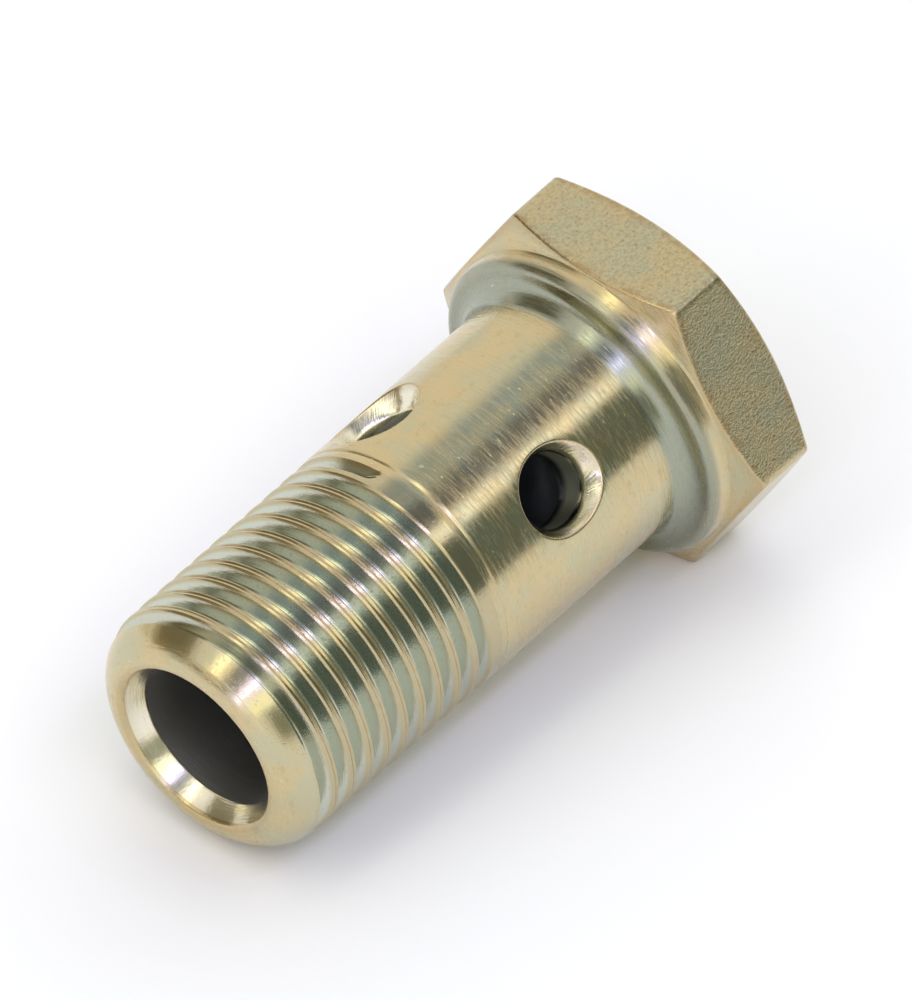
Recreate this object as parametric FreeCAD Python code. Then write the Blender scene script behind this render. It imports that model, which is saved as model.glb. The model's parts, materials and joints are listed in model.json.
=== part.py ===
import FreeCAD, Part
import math
import os

# A hollow union bolt, turned and rolled from one piece of steel: a hex head with a round
# washer face, a plain shank, a fine right-hand thread, a passage bored up from the tip and
# two cross drillings that open the passage to the shank. Millimetres and degrees.
# The bolt is built about its own axis: height 0 is the bearing plane under the head, the
# head is above it and the tip points down. It is then laid on its side, as it comes to rest.

# Head
ACROSS_FLATS = 21.0
CORNER_ROUND_R = 0.5
HEAD_HEIGHT = 7.0
TOP_FACE_D = 19.1
TOP_CHAMFER_ANGLE = 25.0
UNDER_CHAMFER_ANGLE = 25.0

# Washer face, the round seat that presses on the sealing ring
SEAT_D = 19.5
SEAT_BEVEL = 0.3
SEAT_BEVEL_ANGLE = 45.0
COLLAR_D = 20.4
COLLAR_HEIGHT = 1.24

# Shank
SHANK_D = 16.0
PLAIN_LENGTH = 15.15
LENGTH_UNDER_HEAD = 33.0
UNDER_HEAD_FILLET_R = 1.25
TIP_ROUND_R = 2.7
TIP_ROUND_LENGTH = 2.55

# Thread, M16 x 1.5
PITCH = 1.5
THREAD_ALLOWANCE = 0.032
THREAD_STEP_LENGTH = 0.6
THREAD_ANGLE = 60.0
THREAD_DEPTH = 0.87
FLANK_DEPTH = 0.5
CREST_FLAT = 0.4
LAST_GROOVE_DROP = 0.28
RUNOUT_LENGTH = 0.9
RUNOUT_SINK = 0.05
THREAD_TURN = 0.0

# Central passage
PASSAGE_D = 9.5
PASSAGE_END_BELOW_HEAD = 3.5
DRILL_POINT_ANGLE = 118.0
MOUTH_D = 11.0
MOUTH_ANGLE = 60.0

# Cross drillings, each one right through both walls of the shank
CROSS_D = 4.4
CROSS_MOUTH_D = 5.9
CROSS_MOUTH_ANGLE = 60.0
CROSS_BELOW_HEAD = (8.3, 11.6)
CROSS_TURN = (52.7, -37.3)

# How many straight tapers stand in for a quarter or less of rounding
ROUND_STEPS = 3

# A cutting tool runs this far past the stock
OVERRUN = 1.0

THREAD_R = (SHANK_D - THREAD_ALLOWANCE) / 2
ROOT_R = THREAD_R - THREAD_DEPTH
TIP = -LENGTH_UNDER_HEAD
THREAD_TOP = -PLAIN_LENGTH - THREAD_STEP_LENGTH
UP = FreeCAD.Vector(0, 0, 1)
CENTRE = FreeCAD.Vector(0, 0, 0)


def tan(degrees):
    return math.tan(math.radians(degrees))


def at(radius, height):
    """A point of the half section: its distance from the axis and its height."""
    return FreeCAD.Vector(radius, 0, height)


def rounding(centre, radius, first, last):
    """Points along an arc of the half section, between two angles from the outward direction."""
    points = []
    for k in range(ROUND_STEPS + 1):
        a = math.radians(first + (last - first) * k / ROUND_STEPS)
        points.append(at(centre.x + radius * math.cos(a), centre.z + radius * math.sin(a)))
    return points


def turned(points):
    """The solid of revolution of a closed half section."""
    outline = Part.makePolygon(points + [points[0]])
    return Part.Face(outline).revolve(CENTRE, UP, 360)


def stem():
    """Rounded tip, thread stock, shank, fillet under the head and washer face."""
    tip_centre = at(THREAD_R - TIP_ROUND_R, TIP + TIP_ROUND_LENGTH)
    tip_angle = math.degrees(math.asin(TIP_ROUND_LENGTH / TIP_ROUND_R))
    fillet_centre = at(SHANK_D / 2 + UNDER_HEAD_FILLET_R, -UNDER_HEAD_FILLET_R)
    points = [at(0, TIP)]
    points += rounding(tip_centre, TIP_ROUND_R, -tip_angle, 0)
    points += [at(THREAD_R, THREAD_TOP), at(SHANK_D / 2, -PLAIN_LENGTH)]
    points += rounding(fillet_centre, UNDER_HEAD_FILLET_R, 180, 90)
    bevel_r = SEAT_D / 2 + SEAT_BEVEL / tan(SEAT_BEVEL_ANGLE)
    points += [at(SEAT_D / 2, 0), at(bevel_r, SEAT_BEVEL)]
    points += [at(COLLAR_D / 2, COLLAR_HEIGHT), at(0, COLLAR_HEIGHT)]
    return turned(points)


def head():
    """Hexagonal prism with rounded corners, chamfered to a round below and above."""
    corner_r = ACROSS_FLATS / 2 / math.cos(math.radians(30))
    corners = []
    for k in range(7):
        a = math.radians(30 + 60 * k)
        corners.append(FreeCAD.Vector(corner_r * math.cos(a), corner_r * math.sin(a), 0))
    prism = Part.Face(Part.makePolygon(corners)).extrude(UP * HEAD_HEIGHT)
    upright = [e for e in prism.Edges if abs(e.tangentAt(e.FirstParameter).z) > 0.9]
    prism = prism.makeFillet(CORNER_ROUND_R, upright)
    reach = corner_r + OVERRUN
    under_rise = (reach - COLLAR_D / 2) * tan(UNDER_CHAMFER_ANGLE)
    top_drop = (reach - TOP_FACE_D / 2) * tan(TOP_CHAMFER_ANGLE)
    envelope = turned([
        at(0, COLLAR_HEIGHT),
        at(COLLAR_D / 2, COLLAR_HEIGHT),
        at(reach, COLLAR_HEIGHT + under_rise),
        at(reach, HEAD_HEIGHT - top_drop),
        at(TOP_FACE_D / 2, HEAD_HEIGHT),
        at(0, HEAD_HEIGHT),
    ])
    return prism.common(envelope)


def groove_turn():
    """One turn of the thread's groove, its lower end at height 0."""
    slope = tan(THREAD_ANGLE / 2)
    mouth_half = (PITCH - CREST_FLAT) / 2
    outer_half = mouth_half + OVERRUN * slope
    inner_half = mouth_half - FLANK_DEPTH * slope
    profile = Part.makePolygon([
        at(THREAD_R + OVERRUN, -outer_half),
        at(THREAD_R - FLANK_DEPTH, -inner_half),
        at(ROOT_R, 0),
        at(THREAD_R - FLANK_DEPTH, inner_half),
        at(THREAD_R + OVERRUN, outer_half),
        at(THREAD_R + OVERRUN, -outer_half),
    ])
    helix = Part.Wire(Part.makeHelix(PITCH, PITCH, THREAD_R))
    return helix.makePipeShell([profile], True, True)


def thread_runout():
    """The core that widens from the thread's root up to the shank, so that the groove fades out."""
    low = THREAD_TOP - RUNOUT_LENGTH
    high = THREAD_TOP - RUNOUT_SINK
    return turned([
        at(0, low - PITCH),
        at(ROOT_R - RUNOUT_SINK, low - PITCH),
        at(ROOT_R - RUNOUT_SINK, low),
        at(THREAD_R - RUNOUT_SINK, high),
        at(0, high),
    ])


def threaded(blank):
    """The stem with its groove cut turn by turn, from the shank down past the tip."""
    groove = groove_turn()
    groove.rotate(CENTRE, UP, THREAD_TURN)
    for k in range(math.ceil((THREAD_TOP - TIP) / PITCH)):
        turn = groove.copy()
        turn.translate(UP * (THREAD_TOP - LAST_GROOVE_DROP - (k + 1) * PITCH))
        blank = blank.cut(turn)
    return blank.fuse(thread_runout())


def passage():
    """The blind bore up the axis, with a countersunk mouth and the drill's conical end."""
    end = -PASSAGE_END_BELOW_HEAD
    radius = PASSAGE_D / 2
    point_rise = radius / tan(DRILL_POINT_ANGLE / 2)
    mouth_depth = (MOUTH_D - PASSAGE_D) / 2 / tan(MOUTH_ANGLE / 2)
    flare = OVERRUN * tan(MOUTH_ANGLE / 2)
    return turned([
        at(0, TIP - OVERRUN),
        at(MOUTH_D / 2 + flare, TIP - OVERRUN),
        at(radius, TIP + mouth_depth),
        at(radius, end - point_rise),
        at(0, end),
    ])


def cross_drilling(below_head, turn):
    """A drill right through the shank at one height, countersunk where it leaves each wall."""
    slope = tan(CROSS_MOUTH_ANGLE / 2)
    sink_start = SHANK_D / 2 - (CROSS_MOUTH_D - CROSS_D) / 2 / slope
    out = SHANK_D / 2 + OVERRUN
    out_r = CROSS_MOUTH_D / 2 + OVERRUN * slope
    tool = turned([
        at(0, -out),
        at(out_r, -out),
        at(CROSS_D / 2, -sink_start),
        at(CROSS_D / 2, sink_start),
        at(out_r, out),
        at(0, out),
    ])
    tool.rotate(CENTRE, FreeCAD.Vector(0, 1, 0), 90)
    tool.rotate(CENTRE, UP, turn)
    tool.translate(UP * -below_head)
    return tool


def bolt():
    solid = threaded(stem()).fuse(head())
    solid = solid.cut(passage())
    for below_head, turn in zip(CROSS_BELOW_HEAD, CROSS_TURN):
        solid = solid.cut(cross_drilling(below_head, turn))
    return solid.removeSplitter()


def laid_down(solid):
    """Turn the axis level, tip toward -X, and lower it onto a hex flat and the thread's end."""
    flat_contact = at(ACROSS_FLATS / 2, COLLAR_HEIGHT)
    thread_contact = at(THREAD_R, TIP + TIP_ROUND_LENGTH)
    drop = flat_contact.x - thread_contact.x
    run = flat_contact.z - thread_contact.z
    tilt = math.degrees(math.atan2(drop, run))
    solid.rotate(CENTRE, UP, 180)
    solid.rotate(CENTRE, FreeCAD.Vector(0, 1, 0), 90 - tilt)
    box = solid.optimalBoundingBox(False, False)
    solid.translate(FreeCAD.Vector(-box.Center.x, -box.Center.y, -box.ZMin))
    return solid


if __name__ == "__main__":
    os.makedirs("parts", exist_ok=True)
    laid_down(bolt()).exportStep("parts/banjo_bolt.step")
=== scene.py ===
import json
import math

import bmesh
import bpy
from mathutils import Matrix, Vector


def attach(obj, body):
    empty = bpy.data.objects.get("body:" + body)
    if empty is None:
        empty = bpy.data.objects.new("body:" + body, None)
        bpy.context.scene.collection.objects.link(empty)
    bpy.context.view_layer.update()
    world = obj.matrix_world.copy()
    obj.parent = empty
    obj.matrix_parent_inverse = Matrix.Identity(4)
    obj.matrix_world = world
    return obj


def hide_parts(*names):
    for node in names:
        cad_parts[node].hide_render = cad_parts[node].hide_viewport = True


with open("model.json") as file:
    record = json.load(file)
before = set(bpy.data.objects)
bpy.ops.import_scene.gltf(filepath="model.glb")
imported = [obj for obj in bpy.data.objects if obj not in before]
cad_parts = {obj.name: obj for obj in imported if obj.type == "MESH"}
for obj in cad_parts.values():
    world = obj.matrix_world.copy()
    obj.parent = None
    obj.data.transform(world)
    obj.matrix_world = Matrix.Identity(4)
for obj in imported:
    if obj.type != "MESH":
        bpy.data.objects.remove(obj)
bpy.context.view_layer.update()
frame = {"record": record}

bl_info = {
    "name": "Hollow union bolt",
    "version": (1, 0, 0),
    "blender": (4, 5, 0),
    "location": "View3D > Sidebar > Union bolt",
    "description": "Models and finishes a hollow union bolt with a hex head and a fine thread",
    "category": "Add Mesh",
}

MM = 0.001
MOUNTS = {m["name"]: m for m in frame["record"]["mounts"]}
SEAT_CENTRE = Vector(MOUNTS["under_head_face"]["pos_m"])
AXIS = -Vector(MOUNTS["under_head_face"]["axis"]).normalized()
SIDE = Vector((0, -1, 0))
TOP = SIDE.cross(AXIS)

# The bolt is modelled upright about its own axis, with the face under the head at height 0,
# and this matrix lays it down where the frame has it.
LAID_DOWN = Matrix((TOP, SIDE, AXIS)).transposed().to_4x4()
LAID_DOWN.translation = SEAT_CENTRE


def radius_of(name):
    return MOUNTS[name]["dims"]["r_mm"] * MM


def height_of(name):
    return (Vector(MOUNTS[name]["pos_m"]) - SEAT_CENTRE).dot(AXIS)


def angle_of(name):
    axis = Vector(MOUNTS[name]["axis"])
    return math.atan2(axis.dot(SIDE), axis.dot(TOP))


SHANK_R = radius_of("shank")
THREAD_R = radius_of("thread")
PASSAGE_R = radius_of("passage")
DRILL_R = radius_of("cross_drilling_near_head")
THREAD_LENGTH = MOUNTS["thread"]["dims"]["length_mm"] * MM
TIP = height_of("thread") - THREAD_LENGTH / 2
THREAD_TOP = TIP + THREAD_LENGTH
DRILLINGS = ("cross_drilling_near_head", "cross_drilling_near_thread")


def length(name, description, millimetres):
    return bpy.props.FloatProperty(
        name=name, description=description, default=millimetres * MM, min=0, unit="LENGTH", precision=5
    )


def turn_angle(name, description, degrees):
    return bpy.props.FloatProperty(
        name=name, description=description, default=math.radians(degrees), subtype="ANGLE"
    )


def colour(name, description, rgb):
    return bpy.props.FloatVectorProperty(
        name=name, description=description, default=rgb, min=0, max=1, size=3, subtype="COLOR"
    )


def share(name, description, value):
    return bpy.props.FloatProperty(
        name=name, description=description, default=value, min=0, max=1, subtype="FACTOR"
    )


class HeadSizes(bpy.types.PropertyGroup):
    across_flats: length("Across flats", "Width of the hexagon between two opposite flats", 21.0)
    corner_round: length("Corner rounding", "Radius on the six upright corners", 0.52)
    height: length("Height", "From the bearing face to the top of the head", 7.0)
    top_face_radius: length("Top face radius", "Radius of the flat circle on top of the head", 9.55)
    chamfer_angle: turn_angle("Chamfer angle", "Slope of the round chamfers above and below", 25)
    seat_radius: length("Seat radius", "Outer radius of the bearing face", 9.75)
    seat_bevel: length("Seat bevel", "Height of the bevel round the bearing face", 0.3)
    seat_round: length("Seat rounding", "How far the rounding reaches from the edge of that face", 0.24)
    collar_radius: length("Collar radius", "Radius where the washer face meets the hexagon", 10.2)
    collar_height: length("Collar height", "Height of the washer face", 1.24)
    edge_round: length("Edge rounding", "How far the rounding reaches from each hexagon edge", 0.16)


class StemSizes(bpy.types.PropertyGroup):
    fillet_radius: length("Fillet", "Radius between the shank and the bearing face", 1.25)
    plain_length: length("Plain length", "From the bearing face to the step before the thread", 15.15)
    step_line: length("Step line", "Depth of the fine line that the tool left at that step", 0.02)
    tip_round: length("Tip rounding", "Radius of the rounded tip", 2.78)
    tip_round_length: length("Tip rounding length", "How far the rounded tip reaches up the thread", 2.635)
    mouth_radius: length("Mouth radius", "Radius of the countersink where it meets the tip's face", 5.5)
    mouth_lip: length("Mouth lip", "How far the rounding of the mouth's edge reaches", 0.3)
    passage_end: length("Passage end", "From the bearing face down to the point of the blind passage", 3.5)
    drill_mouth_radius: length("Drilling mouth", "Radius of the cross drillings' countersinks", 2.95)
    drill_edge_round: length("Drilling edge rounding", "How far the rounding of those edges reaches", 0.12)


class ThreadSizes(bpy.types.PropertyGroup):
    pitch: length("Pitch", "Distance from one ridge to the next", 1.5)
    depth: length("Depth", "From the crest to the bottom of the groove", 0.87)
    root_round: length("Root rounding", "Radius at the bottom of the groove", 0.083)
    seam: length("Crest seam", "Depth of the fine fold that rolling leaves along the crest", 0.05)
    last_groove: length("Last groove", "From the top of the thread to the middle of the groove's end", 0.28)
    runout: length("Run-out", "Length over which the groove fades", 0.9)


class Finish(bpy.types.PropertyGroup):
    plating: colour("Plating", "Pale yellow zinc on the turned surfaces", (0.62, 0.51, 0.29))
    plating_green: colour("Plating, green cast", "Where the zinc looks greener", (0.55, 0.51, 0.33))
    crest: colour("Crest", "Zinc on the thread's crests", (0.52, 0.46, 0.29))
    groove: colour("Groove", "Clean zinc down in the thread", (0.58, 0.61, 0.52))
    # Painted shade: this colour darkens and greys the fillet and the bearing face under the head, where the
    # shank and the head shade them.
    seat_shade: colour("Seat", "Greyer zinc in the fillet and on the bearing face", (0.31, 0.35, 0.29))
    bright: colour("Bright metal", "Cleanly cut metal of the countersinks and nicks", (0.84, 0.80, 0.64))
    tarnish: colour("Edge tint", "Orange-brown tint that gathers along the edges", (0.42, 0.27, 0.12))
    pits: colour("Pits", "Dark bottoms of the blasting pits", (0.30, 0.26, 0.16))
    drilled: colour("Drilled wall", "Dull wall of the cross drillings", (0.52, 0.54, 0.42))
    bore: colour("Bore", "Thinly plated steel just inside the passage", (0.42, 0.42, 0.40))
    # Painted shade: this near black colour darkens the passage deep inside, where little light reaches
    # through the openings.
    deep_bore_shade: colour("Deep bore", "Bare dark steel deep in the passage", (0.025, 0.028, 0.036))
    turned_roughness: share("Turned roughness", "Roughness of the shank and the washer face", 0.22)
    blasted_roughness: share("Blasted roughness", "Roughness of the hexagon", 0.24)
    thread_roughness: share("Thread roughness", "Roughness of the thread", 0.18)


COLUMNS = 240
STEP = 2 * math.pi / COLUMNS
# One drilling's mouth is centred in each quarter of the shank's columns.
FIRST_ANGLE = angle_of("cross_drilling_near_thread") - math.pi / 4
WINDOW_COLUMNS = 40
WINDOW_ROWS = 12
SHANK_ROW = 0.55 * MM
BORE_ROW = 0.4125 * MM
WELD = 0.0005 * MM
SHARP_FROM = math.radians(40)

SECTOR = math.radians(60)
DRILL_POINT = math.radians(118)
FLANK_ANGLE = math.radians(30)
FLANK = math.tan(FLANK_ANGLE)

# The thread's helical faces end level here, and plain rings carry on round the tip.
HELIX_END = TIP + 0.5 * MM
GROOVE_START = TIP + 0.9 * MM
GROOVE_GROWS_OVER = 0.7 * MM
GROOVE_ENDS_OVER_TURNS = 0.05
CREST_SOFTNESS = 0.05 * MM
TIP_SOFTNESS = 0.06 * MM
SEAM_START = TIP + 1.5 * MM
SEAM_WIDTH = 0.07 * MM

# How much of the edge tint the crests and the seams take, and how deep below a crest it reaches.
CREST_TINT = 0.08
SEAM_TINT = 0.50
CREST_TINT_DEPTH = 0.12 * MM


def at(radius, angle, height):
    return Vector((radius * math.cos(angle), radius * math.sin(angle), height))


def angle_at(co):
    return math.atan2(co.y, co.x)


def signed_turn(angle):
    """The same direction as an angle between minus and plus half a turn."""
    return (angle + math.pi) % (2 * math.pi) - math.pi


def clamp(value):
    return min(max(value, 0), 1)


def mix(a, b, t):
    return a + (b - a) * t


def bend(before, corner, after, t):
    """A point on the rounding that leaves one line at before and joins the next at after."""
    return mix(mix(before, corner, t), mix(corner, after, t), t)


def rounded_corner(before, corner, after, steps):
    return [bend(before, corner, after, k / steps) for k in range(steps + 1)]


def step_back(corner, other, distance):
    """The point at a distance from the corner on the line to another point."""
    return corner + (other - corner).normalized() * distance


def smooth_min(a, b, softness):
    h = max(softness - abs(a - b), 0) / softness
    return min(a, b) - h * h * softness / 4


def smooth_max(a, b, softness):
    return -smooth_min(-a, -b, softness)


def hexagon_radius(head, angle):
    """Distance from the axis to the hexagon's side, with its corners rounded."""
    off_flat = (angle + SECTOR / 2) % SECTOR - SECTOR / 2
    apothem = head.across_flats / 2
    centre = (apothem - head.corner_round) / math.cos(SECTOR / 2)
    off_corner = SECTOR / 2 - abs(off_flat)
    tangent = math.atan2(centre * math.sin(SECTOR / 2), apothem)
    if abs(off_flat) <= tangent:
        return apothem / math.cos(off_flat)
    reach = head.corner_round ** 2 - (centre * math.sin(off_corner)) ** 2
    return centre * math.cos(off_corner) + math.sqrt(max(reach, 0))


def head_column(head, stem, angle):
    """Half section of the fillet, washer face and hexagon at one angle: points and edge tint."""
    fillet_centre = Vector((SHANK_R + stem.fillet_radius, -stem.fillet_radius))
    seat_start = Vector((fillet_centre.x, 0))
    seat_edge = Vector((head.seat_radius, 0))
    bevel_edge = Vector((head.seat_radius + head.seat_bevel, head.seat_bevel))
    collar_edge = Vector((head.collar_radius, head.collar_height))
    slope = math.tan(head.chamfer_angle)
    side = hexagon_radius(head, angle)
    low = Vector((side, head.collar_height + (side - head.collar_radius) * slope))
    high = Vector((side, head.height - (side - head.top_face_radius) * slope))
    rim = Vector((head.top_face_radius, head.height))
    top_centre = Vector((0, head.height))
    points = []
    tint = []

    def add(new, worn=0.0):
        points.extend(new)
        tint.extend([worn] * len(new))

    def add_round(before, corner, after, reach, steps, worn):
        start = step_back(corner, before, reach)
        add(rounded_corner(start, corner, step_back(corner, after, reach), steps), worn)

    fillet_steps = 9
    for k in range(1, fillet_steps + 1):
        a = math.pi - math.pi / 2 * k / fillet_steps
        add([fillet_centre + stem.fillet_radius * Vector((math.cos(a), math.sin(a)))])
    edge_break = 0.07 * MM
    add_round(seat_start, seat_edge, bevel_edge, head.seat_round, 5, 0.2)
    add_round(seat_edge, bevel_edge, collar_edge, edge_break, 2, 0.5)
    add([mix(bevel_edge, collar_edge, 0.5)])
    add_round(bevel_edge, collar_edge, low, edge_break, 2, 0.4)
    add([mix(collar_edge, low, 0.4)])
    # The chamfer is narrow in the middle of a flat, so the rounding reaches less far down it.
    chamfer_reach = min(head.edge_round, (low - collar_edge).length * 0.45)
    start = step_back(low, collar_edge, chamfer_reach)
    add(rounded_corner(start, low, step_back(low, high, head.edge_round), 4), 1.0)
    flat_rows = 8
    for k in range(1, flat_rows):
        add([mix(low, high, k / flat_rows)])
    add_round(low, high, rim, head.edge_round, 4, 1.0)
    add([mix(high, rim, 0.35), mix(high, rim, 0.7)])
    add_round(high, rim, top_centre, head.edge_round, 3, 0.6)
    add([mix(top_centre, rim, part) for part in (0.8, 0.55, 0.3, 0.12, 0)])
    return points, tint


def hexagon_angle(index):
    """Angle of a column on the hexagon, where the columns stand closer near the corners."""
    even_share = 0.35
    plain = STEP * round(FIRST_ANGLE / STEP + index)
    flat = round(plain / SECTOR) * SECTOR
    t = (plain - flat) / (SECTOR / 2)
    return flat + SECTOR / 2 * mix(math.sin(math.pi / 2 * t), t, even_share)


def column_index(co):
    return round((angle_at(co) - FIRST_ANGLE) / STEP) % COLUMNS


def shank_levels(stem):
    """Heights of the rows up the shank: the thread's step, then even rows past both drillings."""
    lowest = height_of(DRILLINGS[1]) - WINDOW_ROWS / 2 * SHANK_ROW
    levels = [-stem.plain_length]
    k = 0
    while lowest + k * SHANK_ROW < -stem.fillet_radius - SHANK_ROW / 4:
        levels.append(lowest + k * SHANK_ROW)
        k += 1
    return levels + [-stem.fillet_radius]


def lathe(bm, profile, tint):
    """Spin a half section right round the axis and note each vertex's row and edge tint."""
    row = bm.verts.layers.int["row"]
    worn = bm.verts.layers.float["worn"]
    chain = []
    for k, point in enumerate(profile):
        vertex = bm.verts.new(at(point.x, FIRST_ANGLE, point.y))
        vertex[row] = k
        vertex[worn] = tint[k]
        chain.append(vertex)
    edges = [bm.edges.new(pair) for pair in zip(chain, chain[1:])]
    before = set(bm.faces)
    bmesh.ops.spin(
        bm, geom=chain + edges, cent=(0, 0, 0), axis=(0, 0, 1), dvec=(0, 0, 0),
        angle=2 * math.pi, steps=COLUMNS, use_merge=True,
    )
    return [f for f in bm.faces if f not in before]


def outer_body(bm, head, stem):
    """Shank, fillet, washer face and hexagon as one spun sheet, then shaped to the hexagon."""
    shank = [Vector((SHANK_R, level)) for level in shank_levels(stem)]
    columns = [head_column(head, stem, hexagon_angle(k)) for k in range(COLUMNS)]
    first_points, first_tint = columns[0]
    faces = lathe(bm, shank + first_points, [0.0] * len(shank) + first_tint)
    row = bm.verts.layers.int["row"]
    # The columns drift from even spacing to the hexagon's over this many rows.
    turn_rows = 18
    for vertex in {v for f in faces for v in f.verts}:
        above = vertex[row] - len(shank)
        if above < 0:
            continue
        index = column_index(vertex.co)
        plain = FIRST_ANGLE + index * STEP
        drift = signed_turn(hexagon_angle(index) - plain)
        angle = plain + drift * min((above + 1) / turn_rows, 1)
        point = columns[index][0][above]
        vertex.co = at(point.x, angle, point.y)


def bore_radius(stem, height):
    """Radius of the passage at a height, with the drill's point at its end."""
    return min(PASSAGE_R, max(-stem.passage_end - height, 0) * math.tan(DRILL_POINT / 2))


def inner_body(bm, stem):
    """The passage as one spun sheet, from the lip of its mouth to the drill's point."""
    mouth = Vector((stem.mouth_radius, TIP))
    cone_end = Vector((PASSAGE_R, TIP + (stem.mouth_radius - PASSAGE_R) / FLANK))
    face = Vector((stem.mouth_radius + stem.mouth_lip, TIP))
    lip = rounded_corner(face, mouth, step_back(mouth, cone_end, stem.mouth_lip), 6)
    edge_break = 0.08 * MM
    wall = cone_end + Vector((0, edge_break))
    inside = [mix(mouth, cone_end, 0.6)]
    inside += rounded_corner(step_back(cone_end, mouth, edge_break), cone_end, wall, 2)
    lowest = height_of(DRILLINGS[1]) - WINDOW_ROWS / 2 * BORE_ROW
    highest = height_of(DRILLINGS[0]) + WINDOW_ROWS / 2 * BORE_ROW
    rows_below = 8
    for k in range(1, rows_below):
        inside.append(Vector((PASSAGE_R, mix(wall.y, lowest, k / rows_below))))
    levels = [lowest + k * BORE_ROW for k in range(round((highest - lowest) / BORE_ROW) + 2)]
    # One more row on the drill's cone, and then its point.
    levels += [-stem.passage_end - 1.0 * MM, -stem.passage_end]
    inside += [Vector((bore_radius(stem, level), level)) for level in levels]
    lathe(bm, lip + inside, [0.5] * len(lip) + [0.0] * len(inside))


def groove_depth(thread, off_groove):
    """Depth of the thread below its crest, by the distance along the axis from the groove's middle."""
    off = abs(off_groove)
    root_centre = thread.depth - thread.root_round
    tangent = thread.root_round * math.cos(FLANK_ANGLE)
    if off < tangent:
        return root_centre + math.sqrt(thread.root_round ** 2 - off ** 2)
    at_tangent = root_centre + thread.root_round * math.sin(FLANK_ANGLE)
    return smooth_max(0, at_tangent - (off - tangent) / FLANK, CREST_SOFTNESS)


def tip_radius(stem, height):
    """Radius of the rounded tip at a height."""
    below = TIP + stem.tip_round_length - height
    if below <= 0:
        return THREAD_R
    return THREAD_R - stem.tip_round + math.sqrt(max(stem.tip_round ** 2 - below ** 2, 0))


def turns_above_end(thread, angle, height):
    """How many pitches a place lies above the groove's end, following the helix."""
    end = THREAD_TOP - thread.last_groove
    return (height - end) / thread.pitch - angle / (2 * math.pi)


def crest_seam(thread, angle, height):
    """1 in the middle of a crest and 0 beside it, fading out toward the tip and the run-out."""
    turns_up = turns_above_end(thread, angle, height)
    off_crest = (turns_up - 0.5 - round(turns_up - 0.5)) * thread.pitch / SEAM_WIDTH
    ended = clamp((THREAD_TOP - thread.runout - height) / thread.pitch)
    started = clamp((height - SEAM_START) / thread.pitch)
    return math.exp(-off_crest ** 2) * ended * started


def thread_radius(stem, thread, angle, height):
    """Radius of the threaded stretch at one place on it."""
    turns_up = turns_above_end(thread, angle, height)
    whole = round(turns_up)
    off_groove = (turns_up - whole) * thread.pitch
    along = whole + angle / (2 * math.pi)
    fade = clamp(-along / GROOVE_ENDS_OVER_TURNS) * clamp((height - GROOVE_START) / GROOVE_GROWS_OVER)
    fade = fade * fade * (3 - 2 * fade)
    radius = THREAD_R - groove_depth(thread, off_groove) * fade
    radius -= thread.seam * crest_seam(thread, angle, height)
    core = THREAD_R - thread.depth * (THREAD_TOP - height) / thread.runout
    if height > THREAD_TOP - thread.runout:
        radius = min(smooth_max(radius, core, CREST_SOFTNESS), THREAD_R)
    tip = tip_radius(stem, height)
    if tip < THREAD_R:
        radius = smooth_min(radius, tip, TIP_SOFTNESS)
    return radius


def thread_body(bm, stem, thread):
    """One turn of the thread spun up in a helix, copied along the bolt, shaped, and ended level."""
    # Rows across a ridge, in millimetres from the middle of its crest.
    from_crest = (0, 0.05, 0.10, 0.17, 0.22, 0.30, 0.45, 0.62, 0.69)
    half_pitch = thread.pitch / 2
    above_groove = [half_pitch - s * MM for s in reversed(from_crest)]
    offsets = [-offset for offset in reversed(above_groove)] + [0] + above_groove
    top = THREAD_TOP - thread.last_groove + thread.pitch * (FIRST_ANGLE / (2 * math.pi) + 1)
    turns = math.ceil((top - TIP) / thread.pitch) + 1
    body_verts = set(bm.verts)
    body_faces = set(bm.faces)
    chain = [bm.verts.new(at(THREAD_R, FIRST_ANGLE, top + offset)) for offset in offsets]
    edges = [bm.edges.new(pair) for pair in zip(chain, chain[1:])]
    bmesh.ops.spin(
        bm, geom=chain + edges, cent=(0, 0, 0), axis=(0, 0, 1),
        dvec=(0, 0, thread.pitch / COLUMNS), angle=2 * math.pi, steps=COLUMNS,
    )
    turn = [f for f in bm.faces if f not in body_faces]
    for k in range(1, turns + 1):
        copied = bmesh.ops.duplicate(bm, geom=turn)["geom"]
        copied_verts = [g for g in copied if isinstance(g, bmesh.types.BMVert)]
        bmesh.ops.translate(bm, verts=copied_verts, vec=(0, 0, -k * thread.pitch))
    worn = bm.verts.layers.float["worn"]
    ribbon = [v for v in bm.verts if v not in body_verts]
    for vertex in ribbon:
        angle = angle_at(vertex.co)
        height = min(max(vertex.co.z, HELIX_END), THREAD_TOP)
        radius = thread_radius(stem, thread, angle, height)
        on_crest = max(0.0, 1 - (THREAD_R - radius) / CREST_TINT_DEPTH)
        vertex[worn] = CREST_TINT * on_crest + SEAM_TINT * crest_seam(thread, angle, height)
        vertex.co = at(radius, angle, height)
    bmesh.ops.remove_doubles(bm, verts=ribbon, dist=WELD)
    bare = [e for e in bm.edges if not e.link_faces]
    bmesh.ops.delete(bm, geom=bare, context="EDGES")


def open_edges(bm, height, reach=0.002 * MM):
    """Edges with one face beside them that lie level at a height."""
    return [
        e for e in bm.edges
        if len(e.link_faces) == 1 and all(abs(v.co.z - height) < reach for v in e.verts)
    ]


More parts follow.
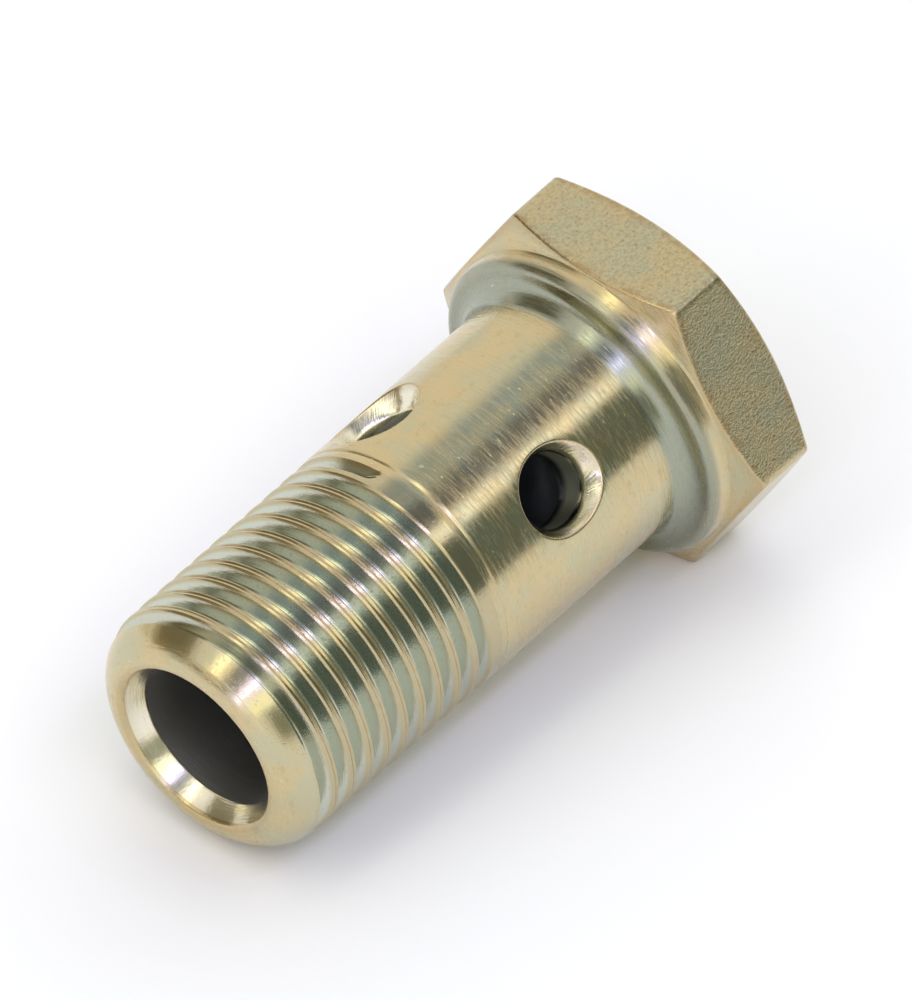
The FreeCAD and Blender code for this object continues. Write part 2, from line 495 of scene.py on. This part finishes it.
def carry_on(bm, loop, rings):
    """Extrude a level loop of edges through rings, each given by its radius and height."""
    for radius, height in rings:
        made = bmesh.ops.extrude_edge_only(bm, edges=loop)["geom"]
        for vertex in (g for g in made if isinstance(g, bmesh.types.BMVert)):
            vertex.co = at(radius, angle_at(vertex.co), height)
        loop = [
            g for g in made
            if isinstance(g, bmesh.types.BMEdge) and all(abs(v.co.z - height) < WELD for v in g.verts)
            and all(abs(v.co.to_2d().length - radius) < WELD for v in g.verts)
        ]


def close_ends(bm, stem):
    """Carry the thread up to the shank's step, and down round the tip to the mouth, and weld both."""
    step = -stem.plain_length
    line = step - 0.05 * MM
    nick = [(THREAD_R, line - 0.08 * MM), (THREAD_R - stem.step_line, line), (SHANK_R, step)]
    carry_on(bm, open_edges(bm, THREAD_TOP), nick)
    rounded = [TIP + above * MM for above in (0.36, 0.22, 0.10, 0.03, 0.0)]
    rings = [(tip_radius(stem, height), height) for height in rounded]
    lip = stem.mouth_radius + stem.mouth_lip
    beside_lip = lip + 0.05 * MM
    carry_on(bm, open_edges(bm, HELIX_END), rings + [(beside_lip, TIP), (lip, TIP)])
    bmesh.ops.remove_doubles(bm, verts=bm.verts, dist=WELD)


class Drilling:
    """One mouth of a cross drilling: where it opens and how its rings run down to the passage.

    A place on it is given by theta, the angle round its axis, and q, the distance from that axis.
    """

    def __init__(self, stem, height, angle):
        self.stem = stem
        self.height = height
        self.out = at(1, angle, 0)
        self.across = at(1, angle + math.pi / 2, 0)
        self.sink_start = SHANK_R - (stem.drill_mouth_radius - DRILL_R) / FLANK

    def point(self, theta, q, depth_along):
        return (
            self.out * depth_along + self.across * (q * math.sin(theta))
            + Vector((0, 0, self.height + q * math.cos(theta)))
        )

    def to_shank(self, theta, q):
        """How far out along the drilling's axis the shank's surface lies."""
        return math.sqrt(SHANK_R ** 2 - (q * math.sin(theta)) ** 2)

    def to_cone(self, q):
        """How far out along the drilling's axis the countersink lies."""
        return self.sink_start + (q - DRILL_R) / FLANK

    def on_shank(self, theta, q):
        return self.point(theta, q, self.to_shank(theta, q))

    def on_cone(self, theta, q):
        return self.point(theta, q, self.to_cone(q))

    def rim(self, theta):
        """Where the countersink meets the shank at one angle round the drilling."""
        low = DRILL_R
        high = self.stem.drill_mouth_radius + 0.5 * MM
        halvings = 30
        for _ in range(halvings):
            q = (low + high) / 2
            if self.to_cone(q) < self.to_shank(theta, q):
                low = q
            else:
                high = q
        return low

    def place(self, co):
        """Angle round the drilling and distance from its axis, for a point on the shank."""
        across = co.dot(self.across)
        up = co.z - self.height
        return math.atan2(across, up), math.hypot(across, up)

    def in_passage(self, theta):
        level = self.height + DRILL_R * math.cos(theta)
        radius = bore_radius(self.stem, level)
        return math.sqrt(max(radius ** 2 - (DRILL_R * math.sin(theta)) ** 2, 0))

    def toward_rim(self, theta, q, t):
        return self.on_shank(theta, mix(q, self.rim(theta) + self.stem.drill_edge_round, t))

    def rounded_rim(self, theta, q, t):
        reach = self.stem.drill_edge_round
        rim = self.rim(theta)
        before = self.on_shank(theta, rim + reach)
        after = self.on_cone(theta, rim - reach / 2)
        return bend(before, self.on_cone(theta, rim), after, t)

    def down_cone(self, theta, q, t):
        rim_end = self.rim(theta) - self.stem.drill_edge_round / 2
        return self.on_cone(theta, mix(rim_end, DRILL_R + 0.03 * MM, t))

    def down_wall(self, theta, q, t):
        return self.point(theta, DRILL_R, mix(self.sink_start, self.in_passage(theta), t))

    def rings(self):
        """Each ring from the window's edge inward: its shape, how far along it is, and its edge tint."""
        stretches = (
            (self.toward_rim, (0.35, 0.7, 1), 0.0),
            (self.rounded_rim, (0.25, 0.5, 0.75, 1), 0.9),
            (self.down_cone, (0.35, 0.7, 1), 0.0),
            (self.down_wall, (0.04, 0.25, 0.5, 0.75, 1), 0.0),
        )
        return [(shape, t, tint) for shape, parts, tint in stretches for t in parts]


def window_loop(bm, height, angle, row_height, inside):
    """Cut a window of whole faces out of the shank or the passage and give the edges round it."""
    half_angle = (WINDOW_COLUMNS / 2) * STEP
    half_height = (WINDOW_ROWS / 2) * row_height
    wall_limit = PASSAGE_R + 0.5 * MM
    gone = []
    for face in bm.faces:
        centre = face.calc_center_median()
        if (centre.to_2d().length < wall_limit) != inside:
            continue
        off = signed_turn(angle_at(centre) - angle)
        if abs(off) < half_angle and abs(centre.z - height) < half_height:
            gone.append(face)
    cut_out = set(gone)
    border = {e for f in gone for e in f.edges if any(g not in cut_out for g in e.link_faces)}
    bmesh.ops.delete(bm, geom=gone, context="FACES")
    return list(border)


def drill(bm, stem, height, angle):
    """Open one mouth of a cross drilling: a window in each sheet and rings of faces between them."""
    hole = Drilling(stem, height, angle)
    loop = window_loop(bm, height, angle, SHANK_ROW, inside=False)
    far = window_loop(bm, height, angle, BORE_ROW, inside=True)
    places = {v: hole.place(v.co) for e in loop for v in e.verts}
    worn = bm.verts.layers.float["worn"]
    for shape, t, tint in hole.rings():
        made = bmesh.ops.extrude_edge_only(bm, edges=loop)["geom"]
        new_verts = [g for g in made if isinstance(g, bmesh.types.BMVert)]
        next_places = {}
        for vertex in new_verts:
            beside = (e.other_vert(vertex) for e in vertex.link_edges)
            next_places[vertex] = places[next(v for v in beside if v in places)]
        for vertex, (theta, q) in next_places.items():
            vertex.co = shape(theta, q, t)
            vertex[worn] = tint
        places = next_places
        loop = [g for g in made if isinstance(g, bmesh.types.BMEdge) and all(v in places for v in g.verts)]
    bmesh.ops.bridge_loops(bm, edges=loop + far)


TURNED, BLASTED, THREADED, BORED = range(4)


def zone(face, head):
    """Which finish a face has, by where it lies on the upright bolt."""
    centre = face.calc_center_median()
    radius = centre.to_2d().length
    chamfer = head.collar_height + (radius - head.collar_radius) * math.tan(head.chamfer_angle)
    hexagon_start = max(chamfer, head.collar_height) + 0.04 * MM
    inside_shank = SHANK_R - 0.05 * MM
    inside_passage = PASSAGE_R + 0.02 * MM
    countersink_radius = 5.35 * MM
    countersink_top = TIP + 1.4 * MM
    groove_bottom = THREAD_R - 0.95 * MM
    if centre.z > hexagon_start:
        return BLASTED
    if radius < inside_shank and centre.z > THREAD_TOP:
        return BORED
    if radius < inside_passage or (radius < countersink_radius and centre.z < countersink_top):
        return BORED
    if HELIX_END < centre.z < THREAD_TOP and radius > groove_bottom:
        return THREADED
    return TURNED


def build_bolt(head, stem, thread):
    bm = bmesh.new()
    bm.verts.layers.int.new("row")
    bm.verts.layers.float.new("worn")
    outer_body(bm, head, stem)
    inner_body(bm, stem)
    bmesh.ops.remove_doubles(bm, verts=bm.verts, dist=WELD)
    for name in DRILLINGS:
        for half_turn in (0, math.pi):
            drill(bm, stem, height_of(name), angle_of(name) + half_turn)
    thread_body(bm, stem, thread)
    close_ends(bm, stem)
    bmesh.ops.recalc_face_normals(bm, faces=bm.faces)
    loose = [e for e in bm.edges if len(e.link_faces) != 2]
    if loose:
        place = loose[0].verts[0].co / MM
        raise RuntimeError(f"the bolt's surface is open at {len(loose)} edges, first near {place}")
    for face in bm.faces:
        face.smooth = True
        face.material_index = zone(face, head)
    bm.transform(LAID_DOWN)
    return bm


class Shade:
    """A socket of a node tree that takes part in arithmetic, each operator adding a Math node."""

    def __init__(self, tree, socket=None):
        self.tree = tree
        self.socket = socket

    def node(self, kind, settings=None, inputs=None, output=0):
        """Any node: its type, its settings, the values or links of its sockets, and the output to use."""
        made = self.tree.nodes.new(kind)
        for name, value in (settings or {}).items():
            setattr(made, name, value)
        for name, value in (inputs or {}).items():
            if isinstance(value, Shade):
                self.tree.links.new(value.socket, made.inputs[name])
            else:
                made.inputs[name].default_value = value
        return Shade(self.tree, made.outputs[output] if len(made.outputs) else None)

    def other(self, output):
        """Another output of the same node."""
        return Shade(self.tree, self.socket.node.outputs[output])

    def math(self, operation, *values):
        return self.node("ShaderNodeMath", {"operation": operation}, dict(enumerate(values)))

    def __add__(self, value):
        return self.math("ADD", self, value)

    __radd__ = __add__

    def __mul__(self, value):
        return self.math("MULTIPLY", self, value)

    __rmul__ = __mul__

    def __sub__(self, value):
        return self.math("SUBTRACT", self, value)

    def __rsub__(self, value):
        return self.math("SUBTRACT", value, self)

    def band(self, low, high, start=0.0, end=1.0):
        """A smooth step from start to end as this value goes from low to high."""
        return self.node(
            "ShaderNodeMapRange", {"interpolation_type": "SMOOTHSTEP"},
            {"Value": self, "From Min": low, "From Max": high, "To Min": start, "To Max": end},
        )

    def colours(self, a, b):
        """Colour a where this value is 0 and colour b where it is 1."""
        first = a if isinstance(a, Shade) else (*a, 1)
        second = b if isinstance(b, Shade) else (*b, 1)
        return self.node("ShaderNodeMix", {"data_type": "RGBA"}, {0: self, 6: first, 7: second}, output=2)

    def vector_math(self, operation, *values, output=0):
        return self.node("ShaderNodeVectorMath", {"operation": operation}, dict(enumerate(values)), output)

    def dot(self, vector):
        return self.vector_math("DOT_PRODUCT", self, vector, output="Value")


def noise(where, scale, detail=2.0, roughness=0.5):
    return where.node(
        "ShaderNodeTexNoise", {"noise_dimensions": "3D"},
        {"Vector": where, "Scale": scale, "Detail": detail, "Roughness": roughness},
    )


class BoltSpace:
    """Coordinates about the bolt's own axis, in millimetres."""

    def __init__(self, tree):
        coords = Shade(tree).node("ShaderNodeTexCoord", output="Object")
        laid = {"Location": SEAT_CENTRE, "Rotation": LAID_DOWN.to_euler(), "Scale": (MM, MM, MM)}
        self.local = coords.node("ShaderNodeMapping", {"vector_type": "TEXTURE"}, {"Vector": coords, **laid})
        self.x = self.local.node("ShaderNodeSeparateXYZ", None, {0: self.local})
        self.y = self.x.other("Y")
        self.height = self.x.other("Z")
        squared = self.x * self.x + self.y * self.y
        self.radius = squared.math("SQRT", squared)

    def rings(self, across, along, lean=0.8):
        """Coordinates that change fast across a turned surface and slowly round the axis."""
        down_the_section = self.height * across + self.radius * (across * lean)
        return self.x.node(
            "ShaderNodeCombineXYZ", None, {0: self.x * along, 1: self.y * along, 2: down_the_section}
        )


def new_material(name):
    material = bpy.data.materials.new(name)
    material.use_nodes = True
    material.node_tree.nodes.clear()
    return material


def finish_material(tree, base, roughness, relief, distance):
    """Metal with a colour, a roughness and a fine relief."""
    bump = relief.node("ShaderNodeBump", None, {"Strength": 1.0, "Distance": distance, "Height": relief})
    surface = bump.node(
        "ShaderNodeBsdfPrincipled", None,
        {"Base Color": base, "Metallic": 1.0, "Roughness": roughness, "Normal": bump},
    )
    surface.node("ShaderNodeOutputMaterial", None, {"Surface": surface})


def worn_edges(tree):
    return Shade(tree).node("ShaderNodeAttribute", {"attribute_name": "worn"}, output="Fac")


def plated_tint(finish, local):
    """The plating's colour, which drifts a little toward green in broad patches."""
    drift = noise(local, 0.45, detail=3.0).band(0.35, 0.68)
    return drift.colours(finish.plating, finish.plating_green)


def turned_material(finish):
    """Turned and plated steel, with fine rings from the tool and a few nicks."""
    material = new_material("turned_plated_steel")
    tree = material.node_tree
    space = BoltSpace(tree)
    fine = noise(space.rings(7.0, 0.7), 1.0, detail=3.0, roughness=0.7)
    coarse = noise(space.rings(2.6, 0.12), 1.0)
    nicks = noise(space.rings(5.0, 1.6), 1.0, detail=1.0).band(0.72, 0.80)
    stains = noise(space.local, 1.5, detail=3.0).band(0.56, 0.74)
    # Painted shade: the fillet and the bearing face under the head take the darker seat colour.
    under_head = space.height.band(-1.5, -0.9) * space.height.band(0.75, 0.35)
    tint = plated_tint(finish, space.local)
    tint = (under_head * 0.85).colours(tint, finish.seat_shade)
    tint = (stains * 0.20).colours(tint, finish.tarnish)
    tint = (nicks * 0.40).colours(tint, finish.bright)
    tint = (worn_edges(tree) * 0.40).colours(tint, finish.tarnish)
    rough = fine.band(0.36, 0.66, 0.13, 0.28) + stains * 0.05 + (finish.turned_roughness - 0.20)
    relief = fine + coarse * 0.9 - nicks * 1.2
    finish_material(tree, tint, rough, relief, distance=0.009 * MM)
    return material


def blasted_material(finish):
    """Blasted and plated steel of the hexagon: coarse grain with a tint along its edges."""
    material = new_material("blasted_plated_steel")
    tree = material.node_tree
    local = BoltSpace(tree).local
    grain = noise(local, 7.0, detail=3.0, roughness=0.75)
    swell = noise(local, 1.1)
    pits = noise(local, 4.0).band(0.60, 0.70)
    patchy = noise(local, 1.4, detail=3.0).band(0.35, 0.62)
    speckle = noise(local, 4.2, detail=3.0, roughness=0.65)
    tint = plated_tint(finish, local)
    tint = speckle.band(0.58, 0.38, 0.0, 0.30).colours(tint, finish.pits)
    tint = (pits * 0.50).colours(tint, finish.pits)
    tint = (worn_edges(tree) * patchy * 0.60).colours(tint, finish.tarnish)
    rough = finish.blasted_roughness + speckle * 0.20 - 0.14
    relief = grain + speckle * 0.4 + swell * 0.3 - pits * 0.4
    finish_material(tree, tint, rough, relief, distance=0.030 * MM)
    return material


def threaded_material(finish):
    """Rolled and plated thread: clean bright grooves, tinted crests and streaks along the ridges."""
    material = new_material("rolled_plated_thread")
    tree = material.node_tree
    space = BoltSpace(tree)
    tip = TIP / MM
    crest = THREAD_R / MM
    streaks = noise(space.rings(10.0, 0.7), 1.0, detail=3.0, roughness=0.6)
    patches = noise(space.local, 1.8, detail=3.0)
    specks = noise(space.local, 5.0).band(0.60, 0.72)
    past_tip = space.height.band(tip + 1.0, tip + 2.6)
    groove = space.radius.band(crest - 0.10, crest - 0.30) * past_tip
    tint = past_tip.colours(plated_tint(finish, space.local), finish.crest)
    tint = groove.colours(tint, finish.groove)
    tint = (worn_edges(tree) * patches.band(0.25, 0.6)).colours(tint, finish.tarnish)
    tint = (specks * 0.30).colours(tint, finish.tarnish)
    rough = finish.thread_roughness + streaks * 0.12 - 0.07
    relief = streaks + patches * 1.4 - specks * 0.4
    finish_material(tree, tint, rough, relief, distance=0.0055 * MM)
    return material


def bored_material(finish):
    """Drilled walls inside the bolt: bright at the openings, and near black deeper in, which is painted
    shade.
    """
    material = new_material("drilled_steel")
    tree = material.node_tree
    space = BoltSpace(tree)
    tip = TIP / MM
    marks = noise(space.local, 2.4, detail=3.0)
    # The countersink narrows upward, so its rings lean the other way.
    ring_marks = noise(space.rings(9.0, 0.3, lean=-0.8), 1.0, roughness=0.7)
    # Painted shade: the passage fades from the bore colour at the mouth to the deep shade colour further in.
    near_tip = space.height.band(THREAD_TOP / MM - 1.0, tip)
    side_wall = space.radius.band(4.85, 5.6)
    side_mouth = space.radius.band(6.4, 6.8)
    end_mouth = space.height.band(tip + 1.45, tip + 1.30)
    tint = near_tip.colours(finish.deep_bore_shade, finish.bore)
    tint = side_wall.colours(tint, finish.drilled)
    opening = side_mouth.math("MAXIMUM", side_mouth, end_mouth)
    tint = opening.colours(tint, finish.bright)
    tint = (worn_edges(tree) * 0.4).colours(tint, finish.tarnish)
    rough = opening.band(0.0, 1.0, 0.40, 0.12) + ring_marks * 0.12
    relief = ring_marks + marks * 0.8
    finish_material(tree, tint, rough, relief, distance=0.014 * MM)
    return material


def build_floor():
    bm = bmesh.new()
    bmesh.ops.create_grid(bm, x_segments=1, y_segments=1, size=1.5)
    return bm


def floor_material():
    material = new_material("pale_floor")
    surface = Shade(material.node_tree).node(
        "ShaderNodeBsdfPrincipled", None, {"Base Color": (0.93, 0.93, 0.93, 1), "Roughness": 0.9}
    )
    surface.node("ShaderNodeOutputMaterial", None, {"Surface": surface})
    return material


def new_object(name, bm, materials):
    mesh = bpy.data.meshes.new(name)
    bm.to_mesh(mesh)
    bm.free()
    for material in materials:
        mesh.materials.append(material)
    made = bpy.data.objects.new(name, mesh)
    bpy.context.scene.collection.objects.link(made)
    return made


AZIMUTH = math.radians(-48.7)
ELEVATION = math.radians(44.1)
LOOK_AT = Vector((1.336, -0.870, 12.248)) * MM
VIEW_HEIGHT = 56.34 * MM
CAMERA_DISTANCE = 250 * MM
TO_CAMERA = Vector((
    math.sin(AZIMUTH) * math.cos(ELEVATION), -math.cos(AZIMUTH) * math.cos(ELEVATION), math.sin(ELEVATION)
))


def add_camera():
    data = bpy.data.cameras.new("camera")
    data.type = "ORTHO"
    data.ortho_scale = VIEW_HEIGHT
    data.clip_start = 0.001
    data.clip_end = 10
    camera = bpy.data.objects.new("camera", data)
    camera.location = LOOK_AT + TO_CAMERA * CAMERA_DISTANCE
    camera.rotation_mode = "QUATERNION"
    camera.rotation_quaternion = (-TO_CAMERA).to_track_quat("-Z", "Y")
    bpy.context.scene.collection.objects.link(camera)
    bpy.context.scene.camera = camera


def glow(direction, towards, inner, outer):
    """1 within the inner angle of a direction and 0 beyond the outer one, in degrees."""
    near = direction.dot(Vector(towards).normalized())
    return near.band(math.cos(math.radians(outer)), math.cos(math.radians(inner)))


def between(value, low, high, soft):
    """1 where a value lies between two others, with a soft margin at each end."""
    return value.band(low - soft, low + soft) * value.band(high + soft, high - soft)


def add_studio_light():
    """A pale tent with long lamps and dark gaps in it, and a soft light from above for the floor."""
    world = bpy.data.worlds.new("studio")
    bpy.context.scene.world = world
    world.use_nodes = True
    tree = world.node_tree
    tree.nodes.clear()
    direction = Shade(tree).node("ShaderNodeTexCoord", output="Generated")
    # The lamps and gaps lie along the bolt. Each is placed by the slope of the metal that shows it
    # in the photo: how far round the axis from the side that faces the camera, and how far tilted
    # toward the tip, in degrees.
    facing = (TO_CAMERA - AXIS * TO_CAMERA.dot(AXIS)).normalized()
    leftward = facing.cross(AXIS)
    halfway = direction.vector_math("ADD", direction, TO_CAMERA)
    halfway = halfway.vector_math("NORMALIZE", halfway)
    around = halfway.math("ARCTAN2", halfway.dot(leftward), halfway.dot(facing)) * math.degrees(1)
    tilt = halfway.math("ARCSINE", halfway.dot(-AXIS)) * math.degrees(1)

    def strip(from_turn, to_turn, soft, from_tilt, to_tilt, fade=4):
        return between(around, from_turn, to_turn, soft) * between(tilt, from_tilt, to_tilt, fade)

    light = around.band(52, 74).colours((1.00, 0.96, 0.90), (0.72, 0.68, 0.60))
    # The dark gaps
    light = strip(-33, -3.5, 2.5, -120, 14, 6).colours(light, (0.16, 0.19, 0.17))
    light = strip(-24, -9, 3, 14, 38, 5).colours(light, (0.32, 0.33, 0.25))
    light = glow(direction, (0.41, 0.13, 0.90), 9, 23).colours(light, (0.42, 0.50, 0.60))
    light = glow(direction, (0.414, -0.20, 0.888), 6, 14).colours(light, (0.15, 0.17, 0.22))
    light = strip(7, 14, 1.5, 5, 50).colours(light, (0.30, 0.32, 0.36))
    doorway = tilt.band(40, 50).colours((0.23, 0.21, 0.14), (0.34, 0.28, 0.18))
    light = strip(35, 59, 3, 13, 66).colours(light, doorway)
    light = strip(8, 33, 2, 54, 62, 1.5).colours(light, (0.30, 0.24, 0.14))
    # The lamps, the last of them a narrow one with a violet margin
    light = strip(-8, 0, 1.5, 10, 53).colours(light, (1.7, 1.65, 1.25))
    light = strip(17.5, 22.5, 1.5, 5, 53, 3).colours(light, (2.4, 2.35, 1.85))
    light = glow(direction, (0.423, -0.49, 0.762), 2, 8).colours(light, (1.9, 1.9, 1.9))
    light = strip(-4, 7, 2, 5, 11, 2).colours(light, (1.8, 1.75, 1.75))
    light = strip(0.8, 6.4, 1, 9, 90).colours(light, (1.0, 0.9, 1.9))
    light = strip(2.7, 4.3, 1, 7, 90).colours(light, (5.2, 5.0, 7.4))
    surface = light.node("ShaderNodeBackground", None, {"Color": light, "Strength": 1.0})
    surface.node("ShaderNodeOutputWorld", None, {"Surface": surface})
    lamp = bpy.data.lights.new("floor_light", "SUN")
    lamp.energy = 0.85
    lamp.color = (0.78, 0.88, 1.0)
    lamp.angle = math.radians(120)
    sun = bpy.data.objects.new("floor_light", lamp)
    sun.visible_glossy = False
    bpy.context.scene.collection.objects.link(sun)


class UNIONBOLT_OT_stage(bpy.types.Operator):
    """Set up the pale floor, the soft light and the camera"""

    bl_idname = "unionbolt.stage"
    bl_label = "Stage"

    def execute(self, context):
        floor = new_object("floor", build_floor(), [floor_material()])
        add_studio_light()
        add_camera()
        context.scene.view_settings.view_transform = "Standard"
        return {"FINISHED"}


class UNIONBOLT_OT_bolt(bpy.types.Operator):
    """Model the bolt and give it its plated finish"""

    bl_idname = "unionbolt.bolt"
    bl_label = "Bolt"

    def execute(self, context):
        scene = context.scene
        bm = build_bolt(scene.unionbolt_head, scene.unionbolt_stem, scene.unionbolt_thread)
        # In the order of the finishes that zone gives.
        makers = (turned_material, blasted_material, threaded_material, bored_material)
        bolt = new_object("bolt", bm, [make(scene.unionbolt_finish) for make in makers])
        bolt.data.set_sharp_from_angle(angle=SHARP_FROM)
        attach(bolt, "root")
        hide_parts("banjo_bolt")
        return {"FINISHED"}


class UNIONBOLT_PT_panel(bpy.types.Panel):
    bl_idname = "UNIONBOLT_PT_panel"
    bl_label = "Union bolt"
    bl_space_type = "VIEW_3D"
    bl_region_type = "UI"
    bl_category = "Union bolt"

    def draw(self, context):
        layout = self.layout
        for operator in (UNIONBOLT_OT_stage, UNIONBOLT_OT_bolt):
            layout.operator(operator.bl_idname)
        for name in GROUPS:
            group = getattr(context.scene, name)
            for prop in group.bl_rna.properties:
                if prop.identifier not in ("rna_type", "name"):
                    layout.prop(group, prop.identifier)


GROUPS = {
    "unionbolt_head": HeadSizes,
    "unionbolt_stem": StemSizes,
    "unionbolt_thread": ThreadSizes,
    "unionbolt_finish": Finish,
}
CLASSES = (*GROUPS.values(), UNIONBOLT_OT_stage, UNIONBOLT_OT_bolt, UNIONBOLT_PT_panel)


def register():
    for cls in CLASSES:
        bpy.utils.register_class(cls)
    for name, cls in GROUPS.items():
        setattr(bpy.types.Scene, name, bpy.props.PointerProperty(type=cls))


def unregister():
    for name in GROUPS:
        delattr(bpy.types.Scene, name)
    for cls in reversed(CLASSES):
        bpy.utils.unregister_class(cls)


def main():
    register()
    bpy.ops.unionbolt.stage()
    bpy.ops.unionbolt.bolt()


if __name__ == "__main__":
    main()
